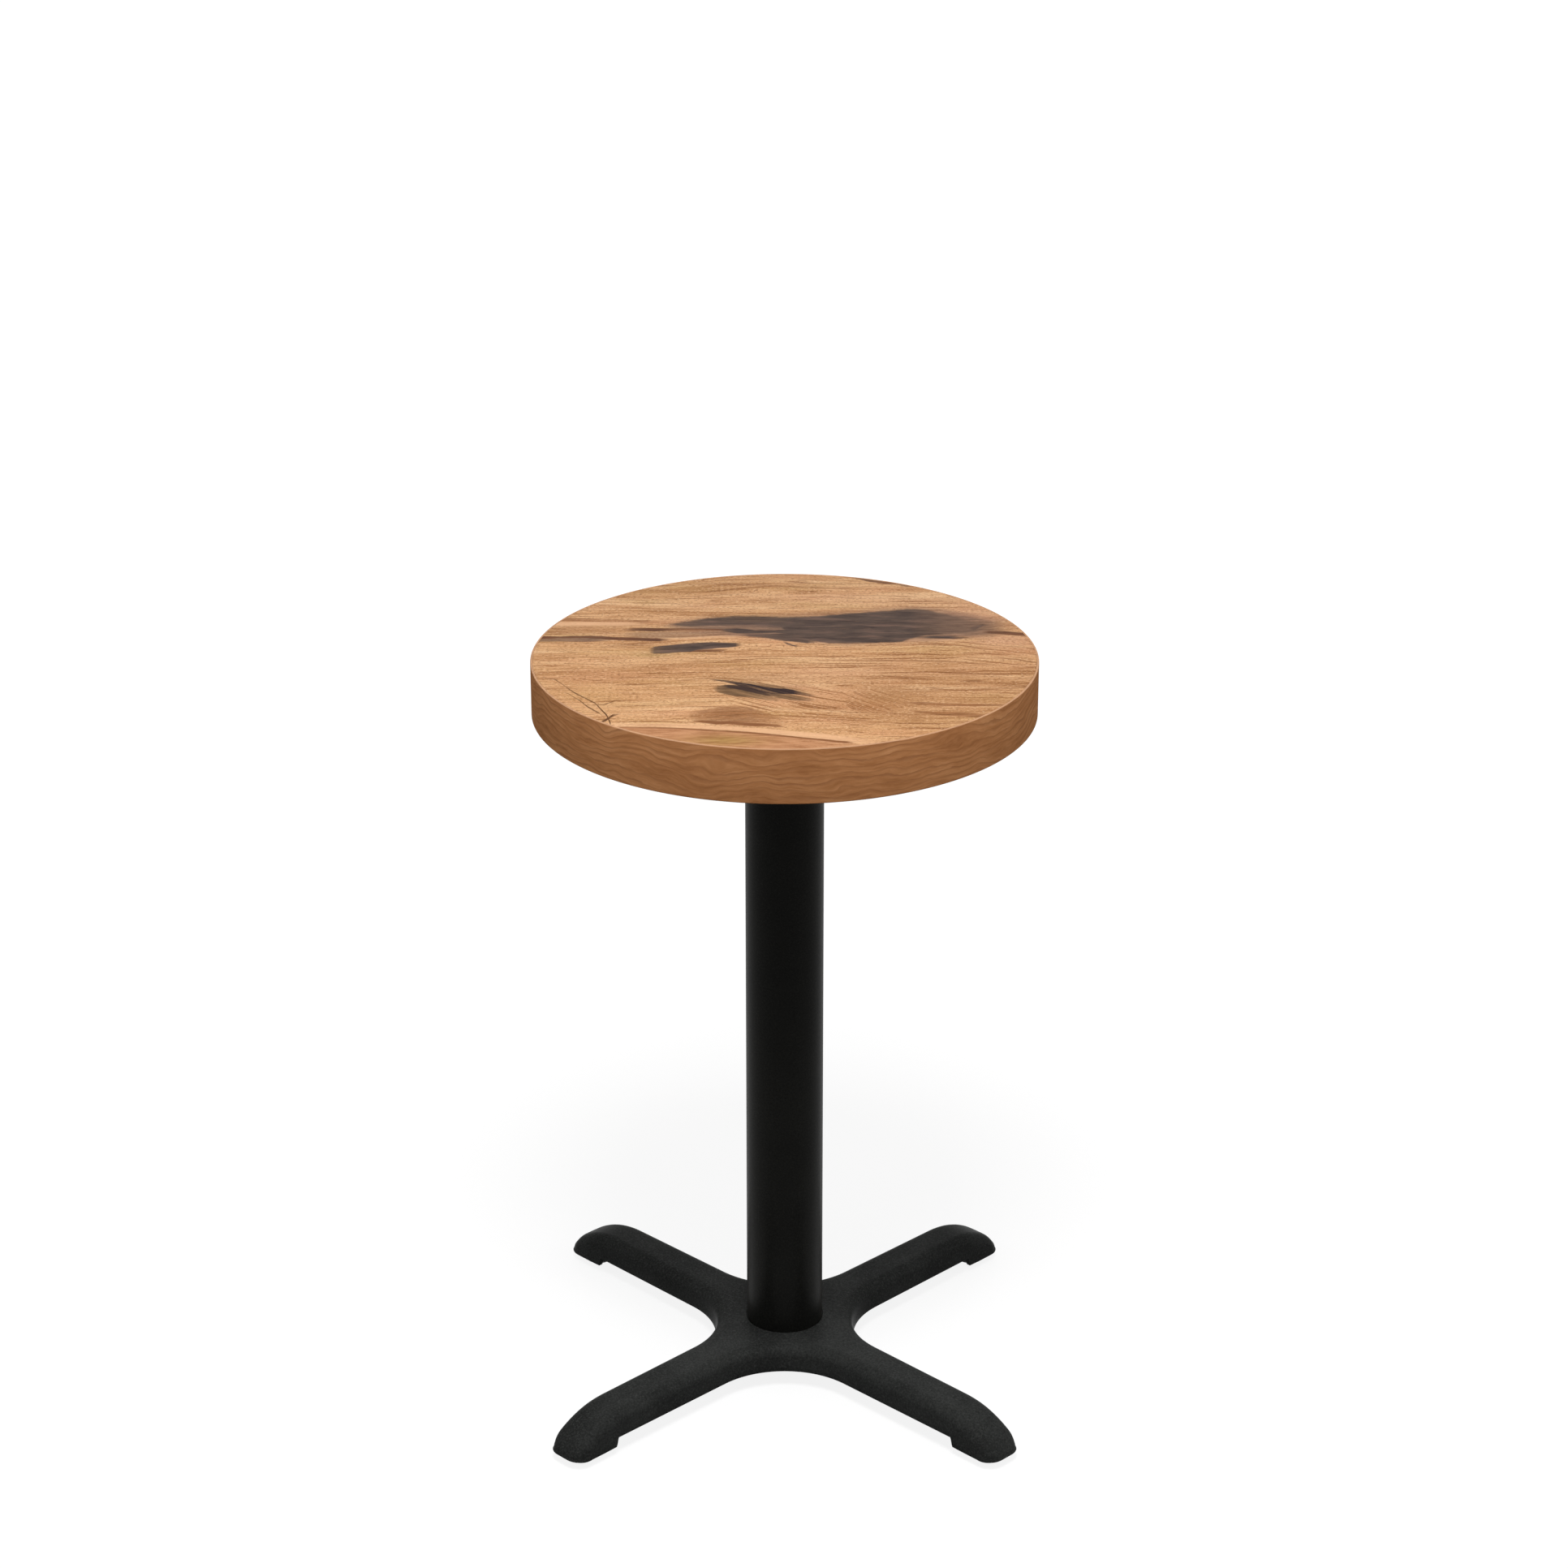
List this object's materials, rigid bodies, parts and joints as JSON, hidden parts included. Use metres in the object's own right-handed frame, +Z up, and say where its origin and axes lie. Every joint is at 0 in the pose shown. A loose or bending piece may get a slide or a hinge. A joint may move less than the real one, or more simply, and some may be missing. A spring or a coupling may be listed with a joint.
{
  "type": "round cafe table",
  "caption": "Round cafe table with an oak-pattern drop-edge top on a black steel column and a cast cross base with levelling glides.",
  "frame": {"origin": "on the floor, on the column's axis", "axes": "+Z up along the column; the base's arms lie on the diagonals of X and Y, and the front of the picture is -Y"},
  "size_m": [0.482, 0.482, 0.757],
  "materials": {
    "oak_laminate": "matte oak-pattern laminate with a dark streak and knots",
    "oak_edge": "matte oak-pattern edge band, grain along the rim",
    "particleboard": "raw particleboard",
    "backer": "plain brown backer sheet",
    "coated_casting": "matte black fine-texture powder coat on a casting",
    "coated_spider": "matte black powder coat on a casting",
    "coated_steel": "matte black fine-texture powder coat on a tube",
    "zinc_steel": "zinc-plated steel",
    "glide_nylon": "black moulded nylon"
  },
  "bodies": {
    "table": {"tabletop_core": "particleboard", "edge_build_up_ring": "particleboard", "top_laminate": "oak_laminate", "backer_sheet": "backer", "edge_band": "oak_edge", "mounting_spider": "coated_spider", "spider_screws": "zinc_steel", "upper_washer": "zinc_steel", "upper_nut": "zinc_steel", "tie_rod": "zinc_steel", "column_tube": "coated_steel", "cross_base": "coated_casting", "lower_washer": "zinc_steel", "lower_lock_washer": "zinc_steel", "lower_nut": "zinc_steel"},
    "glide_pad_front_left": {"glide_pad_front_left": "glide_nylon"},
    "glide_stem_front_left": {"glide_stem_front_left": "zinc_steel"},
    "glide_pad_front_right": {"glide_pad_front_right": "glide_nylon"},
    "glide_stem_front_right": {"glide_stem_front_right": "zinc_steel"},
    "glide_pad_back_right": {"glide_pad_back_right": "glide_nylon"},
    "glide_stem_back_right": {"glide_stem_back_right": "zinc_steel"},
    "glide_pad_back_left": {"glide_pad_back_left": "glide_nylon"},
    "glide_stem_back_left": {"glide_stem_back_left": "zinc_steel"}
  },
  "joints": [
    {"name": "glide_travel_front_left", "type": "slide", "parent": "table", "child": "glide_pad_front_left", "axis": [0, 0, 1], "range_m": [-0.01, 0.001]},
    {"name": "glide_screw_front_left", "type": "hinge", "parent": "glide_pad_front_left", "child": "glide_stem_front_left", "pos_m": [-0.19799, -0.19799, 0.0016], "axis": [0, 0, 1], "range_deg": [-2881, 289]},
    {"name": "glide_travel_front_right", "type": "slide", "parent": "table", "child": "glide_pad_front_right", "axis": [0, 0, 1], "range_m": [-0.01, 0.001]},
    {"name": "glide_screw_front_right", "type": "hinge", "parent": "glide_pad_front_right", "child": "glide_stem_front_right", "pos_m": [0.19799, -0.19799, 0.0016], "axis": [0, 0, 1], "range_deg": [-2881, 289]},
    {"name": "glide_travel_back_right", "type": "slide", "parent": "table", "child": "glide_pad_back_right", "axis": [0, 0, 1], "range_m": [-0.01, 0.001]},
    {"name": "glide_screw_back_right", "type": "hinge", "parent": "glide_pad_back_right", "child": "glide_stem_back_right", "pos_m": [0.19799, 0.19799, 0.0016], "axis": [0, 0, 1], "range_deg": [-2881, 289]},
    {"name": "glide_travel_back_left", "type": "slide", "parent": "table", "child": "glide_pad_back_left", "axis": [0, 0, 1], "range_m": [-0.01, 0.001]},
    {"name": "glide_screw_back_left", "type": "hinge", "parent": "glide_pad_back_left", "child": "glide_stem_back_left", "pos_m": [-0.19799, 0.19799, 0.0016], "axis": [0, 0, 1], "range_deg": [-2881, 289]}
  ],
  "couplings": [
    {"joint": "glide_screw_front_left", "follows": "glide_travel_front_left", "rad_per_m": 5026.5},
    {"joint": "glide_screw_front_right", "follows": "glide_travel_front_right", "rad_per_m": 5026.5},
    {"joint": "glide_screw_back_right", "follows": "glide_travel_back_right", "rad_per_m": 5026.5},
    {"joint": "glide_screw_back_left", "follows": "glide_travel_back_left", "rad_per_m": 5026.5}
  ]
}
